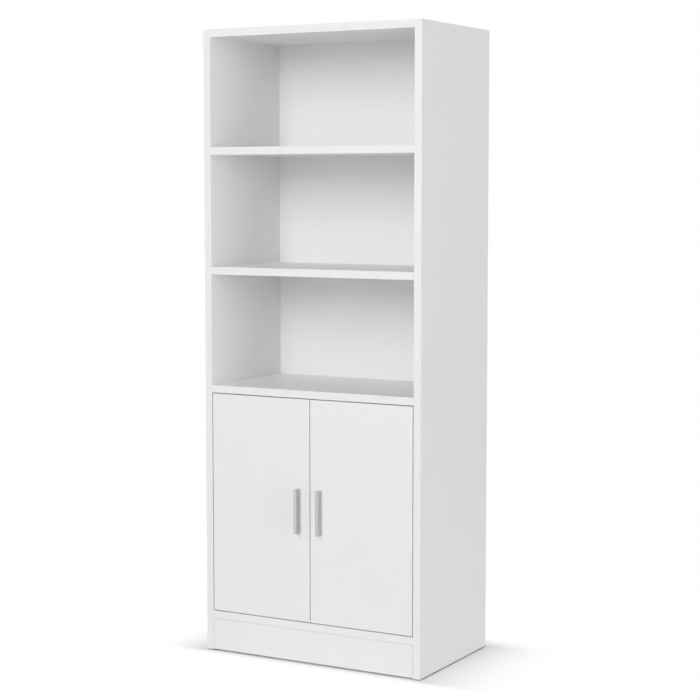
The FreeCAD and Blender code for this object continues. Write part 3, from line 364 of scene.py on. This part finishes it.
def brushed():
    """Fine strokes along one direction, with patches dulled by touching."""
    group, given, made = effect(
        "brushed",
        [("Place", VECTOR, None), ("Colour", COLOUR, None), ("Strokes", VECTOR, (1, 1, 1)),
         ("Smudge", FLOAT, 0.1), ("Roughness", FLOAT, 0.3)],
        [("Colour", COLOUR), ("Roughness", FLOAT), ("Height", FLOAT)])
    place = given.outputs["Place"]
    strokes = noise(group, stretched(group, place, given.outputs["Strokes"]), 1.0, detail=2.0,
                    rough=0.6)
    patches = noise(group, place, TOUCHES, detail=3.0, rough=0.6)
    dull = maths(group, "MULTIPLY", spread(group, patches, (0.4, 0.7), WHOLE),
                 given.outputs["Smudge"])
    shade = maths(group, "SUBTRACT", spread(group, strokes, (0.2, 0.8), (0.95, 1.04)),
                  maths(group, "MULTIPLY", dull, SMUDGE_TONE))
    rough = maths(group, "ADD", given.outputs["Roughness"],
                  maths(group, "MULTIPLY_ADD", strokes, STROKE_GLOSS, dull))
    feed(group, made, Colour=scaled_tone(group, given.outputs["Colour"], shade),
         Roughness=rough, Height=strokes)


def mould_grain():
    """Fine grain that a mould leaves on plastic."""
    group, given, made = effect(
        "mould_grain",
        [("Place", VECTOR, None), ("Colour", COLOUR, None), ("Grain", FLOAT, 1600.0)],
        [("Colour", COLOUR), ("Roughness", FLOAT), ("Height", FLOAT)])
    grain = noise(group, given.outputs["Place"], given.outputs["Grain"], detail=2.0, rough=0.5)
    shade = spread(group, grain, (0.2, 0.8), (0.97, 1.02))
    feed(group, made, Colour=scaled_tone(group, given.outputs["Colour"], shade),
         Roughness=spread(group, grain, (0.2, 0.8), (0.42, 0.56)), Height=grain)


def wood_grain():
    """Long straight fibres of a turned peg."""
    group, given, made = effect(
        "wood_grain",
        [("Place", VECTOR, None), ("Colour", COLOUR, None)],
        [("Colour", COLOUR), ("Roughness", FLOAT), ("Height", FLOAT)])
    fibres = noise(group, stretched(group, given.outputs["Place"], FIBRES), 1.0, detail=4.0,
                   rough=0.6)
    shade = spread(group, fibres, (0.25, 0.75), (0.75, 1.1))
    feed(group, made, Colour=scaled_tone(group, given.outputs["Colour"], shade),
         Roughness=spread(group, fibres, (0.2, 0.8), (0.5, 0.7)), Height=fibres)


def make_effects():
    """Every shared effect, once."""
    for build in (pearl_film, chipboard, facing, glue_line, joint_shade_line, brushed, mould_grain,
                  wood_grain):
        if build.__name__ not in bpy.data.node_groups:
            build()


# ---------------------------------------------------------------- finishes


# tone of the line beside an edge band, and of the painted shade where boards meet, as shares of
# what is round them
GLUE_TONE = 0.86
JOINT_SHADE_TONE = 0.5
# relief of the chips in depths of the film's, and how much rougher they are
CHIP_RELIEF = 6.0
CHIP_ROUGHNESS = 0.4

# strokes or grains in a metre of metal, along a part or along x, y and z
ALONG_HANDLE = 40.0
ALONG_HINGE = 90.0
DRAWN_STEEL = (120.0, 2500.0, 2500.0)
CAST_ZINC = (900.0, 900.0, 900.0)
SCREW_STEEL = (700.0, 700.0, 700.0)


def finish_material(name, metallic=0.0):
    """Material with its shader, and the place that its effects read."""
    material = bpy.data.materials.new(name)
    tree, surface = fresh_tree(material, "ShaderNodeOutputMaterial")
    shader = add(tree, "ShaderNodeBsdfPrincipled")
    shader.inputs["Metallic"].default_value = metallic
    tree.links.new(shader.outputs[0], surface)
    return material, tree, shader, add(tree, "ShaderNodeTexCoord").outputs["Object"]


def finish_surface(tree, shader, colour, roughness, height, depth):
    """Colour, roughness and bumps of a real depth on a shader."""
    tree.links.new(colour, shader.inputs["Base Color"])
    tree.links.new(roughness, shader.inputs["Roughness"])
    bump = feed(tree, add(tree, "ShaderNodeBump"), Height=height, Distance=depth)
    tree.links.new(bump.outputs[0], shader.inputs["Normal"])


def effect_material(name, group, colour, depth, metallic=0.0, **values):
    """Material with the same effect all over it."""
    material, tree, shader, place = finish_material(name, metallic)
    made = placed(tree, group, Place=place, Colour=(*colour, 1), **values).outputs
    finish_surface(tree, shader, made["Colour"], made["Roughness"], made["Height"], depth)
    return material


def metal_material(name, colour, strokes, smudge, roughness, depth=0.000008):
    """Metal with fine strokes; strokes gives how many there are per metre along x, y and z."""
    return effect_material(name, "brushed", colour, depth, metallic=1.0, Strokes=strokes,
                           Smudge=smudge, Roughness=roughness)


def plastic_material(name, colour, grain):
    """Moulded plastic."""
    return effect_material(name, "mould_grain", colour, depth=0.00003, Grain=1 / grain)


def board_material(name, look, raw_faces=(), joint_shade_node=None):
    """White film with edge bands, and raw chipboard on the faces that look along raw_faces.

    The node given for painted shade at its seams, if there is one, gets dark lines at its ends and
    its top where it meets its neighbours.
    """
    material, tree, shader, place = finish_material(name)
    film = placed(tree, "pearl_film", Place=place, Colour=(*look.film, 1), Tone=look.tone,
                  Pearls=1 / look.pearl, Roughness=look.roughness).outputs
    colour, roughness, height = film["Colour"], film["Roughness"], film["Height"]
    glue = placed(tree, "glue_line", Place=place, Front=FRONT_PLANE, Band=look.band,
                  Width=look.glue_line)
    colour = blend_colours(tree, glue.outputs[0], colour, scaled_tone(tree, colour, GLUE_TONE))
    # painted shade: dark lines where the board meets its neighbours
    if joint_shade_node:
        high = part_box(joint_shade_node)[1]
        joint = placed(tree, "joint_shade_line", Place=place, End=high.x, Top=high.z, Width=look.joint)
        colour = blend_colours(tree, joint.outputs[0], colour,
                               scaled_tone(tree, colour, JOINT_SHADE_TONE))
    if raw_faces:
        raw = 0.0
        for direction in raw_faces:
            mask = placed(tree, "facing", Direction=direction).outputs[0]
            raw = maths(tree, "MAXIMUM", raw, mask)
        chips = placed(tree, "chipboard", Place=place, Colour=(*look.chip, 1)).outputs
        colour = blend_colours(tree, raw, colour, chips["Colour"])
        deep = maths(tree, "MULTIPLY", chips["Height"], CHIP_RELIEF)
        height = maths(tree, "MULTIPLY_ADD", raw, deep, height)
        roughness = maths(tree, "MULTIPLY_ADD", raw, CHIP_ROUGHNESS, roughness)
    finish_surface(tree, shader, colour, roughness, height, look.emboss)
    return material


def dress(names, material):
    """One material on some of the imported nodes."""
    for name in names:
        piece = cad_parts[name]
        piece.data.materials.clear()
        piece.data.materials.append(material)


# ---------------------------------------------------------------- objects


def mesh_from(shape, name):
    """Mesh with what a bmesh holds, which is freed."""
    mesh = bpy.data.meshes.new(name)
    shape.to_mesh(mesh)
    shape.free()
    return mesh


def new_object(name, data):
    """Object in the scene with a mesh, a lamp or a camera."""
    made = bpy.data.objects.new(name, data)
    bpy.context.scene.collection.objects.link(made)
    return made


# ---------------------------------------------------------------- screws


# metres within which two corners are one, a corner is on the axis, and two ends are flush
WELD = 1e-7
ON_AXIS = 1e-5
FLUSH = 1e-6

RING_STEPS = 32
SHARP_EDGE = math.radians(30)

# share of the head's radius beyond which a corner is on its rim
HEAD_RIM = 0.9
# the tip's radius and the point's length in shank radii, and the most of the shank it takes
TIP_RADIUS = 0.15
POINT_LENGTH = 2
POINT_SHARE = 0.3
# height in the head and radius there, as shares of the head's own
HEAD_PROFILE = ((0.0, 1.0), (0.35, 1.0), (0.75, 0.9), (1.0, 0.74))
# the cross recess, as shares of the head's radius and height, and its floor as a share of it
CROSS_ARM = 0.62
CROSS_WIDTH = 0.17
CROSS_DEPTH = 0.75
CROSS_FLOOR = 0.55


def islands(node):
    """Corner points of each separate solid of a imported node, in the order of its mesh."""
    shape = bmesh.new()
    shape.from_mesh(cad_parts[node].data)
    bmesh.ops.remove_doubles(shape, verts=shape.verts, dist=WELD)
    seen = set()
    found = []
    for first in shape.verts:
        if first in seen:
            continue
        seen.add(first)
        stack, points = [first], []
        while stack:
            corner = stack.pop()
            points.append(corner.co.copy())
            for edge in corner.link_edges:
                other = edge.other_vert(corner)
                if other not in seen:
                    seen.add(other)
                    stack.append(other)
        found.append(points)
    shape.free()
    return found


class Screw:
    """Sizes and place of one plain screw: the line from its tip to the top of its head."""

    def __init__(self, points):
        low = Vector([min(p[i] for p in points) for i in range(3)])
        high = Vector([max(p[i] for p in points) for i in range(3)])
        axis = max(range(3), key=lambda i: high[i] - low[i])
        middle = (low + high) / 2
        self.along = Vector([float(i == axis) for i in range(3)])
        self.length = high[axis] - low[axis]

        radii = [((p - middle) - self.along * (p - middle).dot(self.along)).length
                 for p in points]
        self.head_radius = max(radii)
        self.shank_radius = min(r for r in radii if r > ON_AXIS)
        rim = [p[axis] for p, r in zip(points, radii) if r > HEAD_RIM * self.head_radius]
        self.head_height = max(rim) - min(rim)

        head_is_low = max(rim) < high[axis] - FLUSH
        if head_is_low:
            self.along = -self.along
        self.tip = middle - self.along * self.length / 2


def cross_corners(radius):
    """Twelve corners of a cross recess, counted round, on a head of the given radius."""
    far, near = CROSS_ARM * radius, CROSS_WIDTH * radius
    corners = []
    for cos, sin in ((1, 0), (0, 1), (-1, 0), (0, -1)):
        corners += [(x * cos - y * sin, x * sin + y * cos)
                    for x, y in ((far, -near), (far, near), (near, near))]
    return corners


def bridge(shape, first, second):
    """Band of faces between two rings."""
    for index in range(len(first)):
        after = (index + 1) % len(first)
        shape.faces.new((first[index], first[after], second[after], second[index]))


def add_screw(shape, screw):
    """Screw with a pointed tip, a domed head and a cross recess."""
    across = screw.along.orthogonal().normalized()
    up = screw.along.cross(across)
    neck = screw.length - screw.head_height

    def loop_at(distance, corners):
        centre = screw.tip + screw.along * distance
        return [shape.verts.new(centre + across * x + up * y) for x, y in corners]

    def ring_at(distance, radius):
        turns = [2 * math.pi * step / RING_STEPS for step in range(RING_STEPS)]
        return loop_at(distance, [(math.cos(t) * radius, math.sin(t) * radius) for t in turns])

    last = ring_at(0.0, screw.shank_radius * TIP_RADIUS)
    shape.faces.new(list(reversed(last)))
    point = min(screw.shank_radius * POINT_LENGTH, neck * POINT_SHARE)
    profile = [(point, screw.shank_radius), (neck, screw.shank_radius)]
    profile += [(neck + screw.head_height * height, screw.head_radius * width)
                for height, width in HEAD_PROFILE]
    for distance, radius in profile:
        band = ring_at(distance, radius)
        bridge(shape, last, band)
        last = band

    mouth = loop_at(screw.length, cross_corners(screw.head_radius))
    rims = []
    for loop in (last, mouth):
        for index, corner in enumerate(loop):
            after = loop[(index + 1) % len(loop)]
            rims.append(shape.edges.get((corner, after)) or shape.edges.new((corner, after)))
    bmesh.ops.triangle_fill(shape, edges=rims, use_beauty=True)
    bottom = loop_at(screw.length - screw.head_height * CROSS_DEPTH,
                     cross_corners(screw.head_radius * CROSS_FLOOR))
    bridge(shape, mouth, bottom)
    shape.faces.new(bottom)


def smooth_round_faces(shape):
    """Smooth shading, with the sharp edges kept hard."""
    for face in shape.faces:
        face.smooth = True
    for edge in shape.edges:
        edge.smooth = len(edge.link_faces) == 2 and edge.calc_face_angle() < SHARP_EDGE


def cross_head_screws(node, body, material):
    """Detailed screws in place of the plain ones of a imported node, riding on its body."""
    shape = bmesh.new()
    for points in islands(node):
        add_screw(shape, Screw(points))
    bmesh.ops.recalc_face_normals(shape, faces=shape.faces)
    shape.normal_update()
    smooth_round_faces(shape)
    piece = new_object(f"{node}_cross_head", mesh_from(shape, f"{node}_cross_head"))
    piece.data.materials.append(material)
    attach(piece, body)
    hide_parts(node)
    return piece


# ---------------------------------------------------------------- pieces


class BookcaseOperator:
    """What all the operators have in common."""

    bl_options = {"REGISTER", "UNDO"}


class BOOKCASE_OT_boards(BookcaseOperator, bpy.types.Operator):
    """White melamine on the carcass boards, with raw chipboard on their hidden edges"""

    bl_idname = "bookcase.boards"
    bl_label = "Dress Boards"

    def execute(self, context):
        make_effects()
        look = context.scene.bookcase_boards
        rear, foot, right_end, left_end = (0, 1, 0), (0, 0, -1), (1, 0, 0), (-1, 0, 0)
        closed = board_material("white_board_banded", look)
        rear_raw = board_material("white_board_raw_rear", look, raw_faces=(rear,))
        side_raw = board_material("white_board_raw_rear_and_foot", look, raw_faces=(rear, foot))
        shelf_raw = board_material("white_board_raw_ends", look,
                                   raw_faces=(rear, right_end, left_end))
        # the plinth's front gets painted shade where it meets its neighbours
        plinth = board_material("white_plinth", look, joint_shade_node="plinth_front")
        dress(("plinth_rear", "back_panel"), closed)
        dress(("plinth_front",), plinth)
        dress(("top_panel", "bottom_panel"), rear_raw)
        dress(("side_panel_left", "side_panel_right"), side_raw)
        dress(("shelf_lower", "shelf_upper", "cabinet_top", "cabinet_shelf"), shelf_raw)
        return {"FINISHED"}


class BOOKCASE_OT_doors(BookcaseOperator, bpy.types.Operator):
    """White melamine on both doors"""

    bl_idname = "bookcase.doors"
    bl_label = "Dress Doors"

    def execute(self, context):
        make_effects()
        material = board_material("white_door", context.scene.bookcase_boards)
        dress([f"door_{side}" for side in SIDES], material)
        return {"FINISHED"}


class BOOKCASE_OT_handles(BookcaseOperator, bpy.types.Operator):
    """Satin metal on the handles, brushed along their length"""

    bl_idname = "bookcase.handles"
    bl_label = "Dress Handles"

    def execute(self, context):
        make_effects()
        look = context.scene.bookcase_metals
        fine = 1 / look.brush
        satin = metal_material("satin_handle", look.handle, (fine, fine, ALONG_HANDLE),
                               look.smudge, roughness=0.38)
        dress([f"handle_{side}" for side in SIDES], satin)
        return {"FINISHED"}


class BOOKCASE_OT_hinges(BookcaseOperator, bpy.types.Operator):
    """Nickel plating on the concealed hinges, and bright steel on their pins"""

    bl_idname = "bookcase.hinges"
    bl_label = "Dress Hinges"

    def execute(self, context):
        make_effects()
        look = context.scene.bookcase_metals
        fine = 1 / look.brush
        plated = metal_material("nickel_plated", look.nickel, (ALONG_HINGE, fine, fine),
                                look.smudge, roughness=0.24)
        turned = metal_material("turned_pin", look.steel, (fine, fine, ALONG_HINGE),
                                look.smudge, roughness=0.2)
        parts = ("hinge_cups", "hinge_arms", "mounting_plates", "main_links", "inner_links")
        dress([f"{part}_{side}" for part in parts for side in SIDES], plated)
        dress([f"{part}_{side}" for part in ("cup_pins", "arm_pins") for side in SIDES], turned)
        return {"FINISHED"}


class BOOKCASE_OT_fittings(BookcaseOperator, bpy.types.Operator):
    """Cast zinc, steel, plastic and beech on the fittings that hold the boards"""

    bl_idname = "bookcase.fittings"
    bl_label = "Dress Fittings"

    def execute(self, context):
        make_effects()
        metals = context.scene.bookcase_metals
        small = context.scene.bookcase_small_parts
        cast = metal_material("cast_zinc", metals.zinc, CAST_ZINC, metals.smudge, roughness=0.5,
                              depth=0.00003)
        drawn = metal_material("zinc_plated_steel", metals.steel, DRAWN_STEEL, metals.smudge,
                               roughness=0.3)
        white = plastic_material("white_plastic", small.cap, small.mould)
        grey = plastic_material("glide_plastic", small.glide, small.mould)
        beech = effect_material("beech_dowel", "wood_grain", small.beech, depth=0.00005)
        dress(("cam_locks",), cast)
        dress(("cam_bolts", "shelf_pins", "glide_nails"), drawn)
        dress(("cam_caps", "door_stops"), white)
        dress(("glides",), grey)
        dress(("dowels",), beech)
        return {"FINISHED"}


class BOOKCASE_OT_screws(BookcaseOperator, bpy.types.Operator):
    """Cross-head screws in place of the plain ones"""

    bl_idname = "bookcase.screws"
    bl_label = "Make Screws"

    def execute(self, context):
        make_effects()
        look = context.scene.bookcase_metals
        material = metal_material("screw_steel", look.steel, SCREW_STEEL, look.smudge,
                                  roughness=0.28)
        for node, body in screw_nodes():
            cross_head_screws(node, body, material)
        return {"FINISHED"}


def screw_nodes():
    """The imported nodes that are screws, each with the body that carries it."""
    nodes = [("back_screws", CARCASS), ("door_stop_screws", CARCASS)]
    for side in SIDES:
        nodes += [(f"{kind}_screws_{side}", CARCASS) for kind in ("plate", "arm")]
        nodes += [(f"{kind}_screws_{side}", f"door_{side}_leaf") for kind in ("cup", "handle")]
    return nodes


# ---------------------------------------------------------------- stage


PLAIN_WHITE = (1, 1, 1, 1)
FLOOR_RADIUS = 7.0

# how far the painted shadow on the floor reaches from each side of the bookcase, in metres
SHADOW_RIGHT = 0.25
SHADOW_LEFT = 0.18
SHADOW_FRONT = 0.045
SHADOW_REAR = 0.11
# share of that reach over which plain white sets in, and how steeply the painted shadow fades
SHADOW_START = 0.02
SHADOW_FADE = 2.0

# side of a square lamp, and how far it is from the middle of the bookcase, in metres
LAMP_SIZE = 3.4
LAMP_DISTANCE = 8.0

# metres to the right of the bookcase's middle, ahead of its doors and over the floor
CAMERA_ACROSS = 2.5555
CAMERA_AHEAD = 4.3188
CAMERA_HEIGHT = 1.3536
CAMERA_HEADING = math.radians(29.319)
CAMERA_TILT = math.radians(5.179)


def seen_directly(tree):
    """1 for what the camera or a reflection sees, 0 for what only gives light."""
    ray = add(tree, "ShaderNodeLightPath").outputs
    shine = maths(tree, "MAXIMUM", ray["Is Glossy Ray"], ray["Is Transmission Ray"])
    return maths(tree, "MAXIMUM", ray["Is Camera Ray"], shine)


def distance_from_bookcase(tree):
    """Distance from the footprint, as a share of how far the painted shadow reaches there."""
    place = feed(tree, add(tree, "ShaderNodeSeparateXYZ"),
                 Vector=add(tree, "ShaderNodeTexCoord").outputs["Object"])
    across, back = place.outputs["X"], place.outputs["Y"]
    spans = ((maths(tree, "SUBTRACT", across, CAD_BOX[1].x), SHADOW_RIGHT),
             (maths(tree, "SUBTRACT", CAD_BOX[0].x, across), SHADOW_LEFT),
             (maths(tree, "SUBTRACT", FRONT_PLANE, back), SHADOW_FRONT),
             (maths(tree, "SUBTRACT", back, REAR_PLANE), SHADOW_REAR))
    squared = 0.0
    for beyond, reach in spans:
        part = maths(tree, "DIVIDE", maths(tree, "MAXIMUM", beyond, 0.0), reach)
        squared = maths(tree, "MULTIPLY_ADD", part, part, squared)
    return maths(tree, "SQRT", squared)


def floor_material(look):
    """Pale floor that keeps its real shadow close by, with a painted shadow over it that fades
    with the distance, and turns plain white a little further out.
    """
    material = bpy.data.materials.new("studio_floor")
    tree, surface = fresh_tree(material, "ShaderNodeOutputMaterial")
    distance = distance_from_bookcase(tree)
    near = spread(tree, distance, WHOLE, (1.0, 0.0))
    # painted shadow: close to the bookcase less plain white mixes in, so the floor shows darker
    # there than its light alone makes it
    shadow = maths(tree, "MULTIPLY", maths(tree, "POWER", near, SHADOW_FADE), 1 - look.lift)
    outside = spread(tree, distance, (0.0, SHADOW_START), WHOLE)
    whiteness = maths(tree, "MULTIPLY", maths(tree, "SUBTRACT", 1.0, shadow), outside)
    share = maths(tree, "MULTIPLY", whiteness, seen_directly(tree))
    matt = feed(tree, add(tree, "ShaderNodeBsdfDiffuse"), Color=(*look.floor, 1))
    white = feed(tree, add(tree, "ShaderNodeEmission"), Strength=1.0)
    blend_shaders(tree, surface, share, matt, white)
    return material


def make_floor(look):
    """Wide round floor under the bookcase."""
    shape = bmesh.new()
    bmesh.ops.create_circle(shape, cap_ends=True, segments=96, radius=FLOOR_RADIUS)
    floor = new_object("studio_floor", mesh_from(shape, "studio_floor"))
    floor.data.materials.append(floor_material(look))


def make_world(look):
    """Even light from all round, plain white where the camera or a reflection sees it."""
    world = bpy.data.worlds.new("studio")
    bpy.context.scene.world = world
    tree, surface = fresh_tree(world, "ShaderNodeOutputWorld")
    light = feed(tree, add(tree, "ShaderNodeBackground"), Color=PLAIN_WHITE,
                 Strength=look.ambient)
    white = feed(tree, add(tree, "ShaderNodeBackground"), Color=PLAIN_WHITE, Strength=1.0)
    blend_shaders(tree, surface, seen_directly(tree), light, white)


def make_lamp(name, level, heading, rise, shines=True):
    """Large soft lamp that adds a level of light on a surface that faces it.

    The heading is 0 straight ahead of the doors and grows to the right; the rise is the
    lamp's angle over the middle of the bookcase. Both are in degrees. A lamp that doesn't
    shine leaves no highlight, and so no glare on the top panel.
    """
    turn, climb = math.radians(heading), math.radians(rise)
    away = Vector((math.sin(turn) * math.cos(climb), -math.cos(turn) * math.cos(climb),
                   math.sin(climb)))
    lamp = new_object(name, bpy.data.lights.new(name, "AREA"))
    lamp.data.size = LAMP_SIZE
    # this power gives a light of the wanted level at the lamp's distance
    lamp.data.energy = level * (math.pi * LAMP_DISTANCE) ** 2
    lamp.location = (CAD_BOX[0] + CAD_BOX[1]) / 2 + away * LAMP_DISTANCE
    lamp.rotation_mode = "QUATERNION"
    lamp.rotation_quaternion = away.to_track_quat("Z", "Y")
    lamp.visible_camera = False
    lamp.visible_glossy = shines


def make_camera(look):
    """Camera a little above the middle, looking slightly down from the right."""
    camera = new_object("studio_camera", bpy.data.cameras.new("studio_camera"))
    camera.data.lens = look.lens
    camera.location = (CAMERA_ACROSS, FRONT_PLANE - CAMERA_AHEAD, CAMERA_HEIGHT)
    camera.rotation_euler = (math.radians(90) - CAMERA_TILT, 0, CAMERA_HEADING)
    bpy.context.scene.camera = camera


class BOOKCASE_OT_stage(BookcaseOperator, bpy.types.Operator):
    """Floor, world, lamps and camera"""

    bl_idname = "bookcase.stage"
    bl_label = "Build Stage"

    def execute(self, context):
        look = context.scene.bookcase_stage
        context.scene.view_settings.view_transform = "Standard"
        make_floor(look)
        make_world(look)
        make_lamp("front_lamp", look.key, heading=2, rise=22)
        make_lamp("low_lamp", look.low, heading=15, rise=8)
        make_lamp("right_lamp", look.right, heading=80, rise=6)
        make_lamp("rear_lamp", look.rear, heading=215, rise=4, shines=False)
        make_camera(look)
        return {"FINISHED"}


# ---------------------------------------------------------------- panel and registration


OPERATORS = (
    BOOKCASE_OT_boards,
    BOOKCASE_OT_doors,
    BOOKCASE_OT_handles,
    BOOKCASE_OT_hinges,
    BOOKCASE_OT_fittings,
    BOOKCASE_OT_screws,
    BOOKCASE_OT_stage,
)


class BOOKCASE_PT_panel(bpy.types.Panel):
    """Buttons and settings of the bookcase"""

    bl_idname = "BOOKCASE_PT_panel"
    bl_label = "Bookcase"
    bl_space_type = "VIEW_3D"
    bl_region_type = "UI"
    bl_category = "Bookcase"

    def draw(self, context):
        for operator in OPERATORS:
            self.layout.operator(operator.bl_idname)
        for name in LOOKS:
            look = getattr(context.scene, name)
            box = self.layout.box()
            for field in look.__annotations__:
                box.prop(look, field)


CLASSES = (*LOOKS.values(), *OPERATORS, BOOKCASE_PT_panel)


def register():
    """Adds the classes and the settings of the scene."""
    for kind in CLASSES:
        bpy.utils.register_class(kind)
    for name, kind in LOOKS.items():
        setattr(bpy.types.Scene, name, bpy.props.PointerProperty(type=kind))


def unregister():
    """Takes them away again."""
    for name in LOOKS:
        delattr(bpy.types.Scene, name)
    for kind in reversed(CLASSES):
        bpy.utils.unregister_class(kind)


def corners(box):
    """Box as plain lists."""
    return [list(box[0]), list(box[1])]


def main():
    """Dresses the bookcase and builds the stage round it."""
    register()
    for operator in OPERATORS:
        space, name = operator.bl_idname.split(".")
        getattr(getattr(bpy.ops, space), name)()
    bpy.context.view_layer.update()


if __name__ == "__main__":
    main()
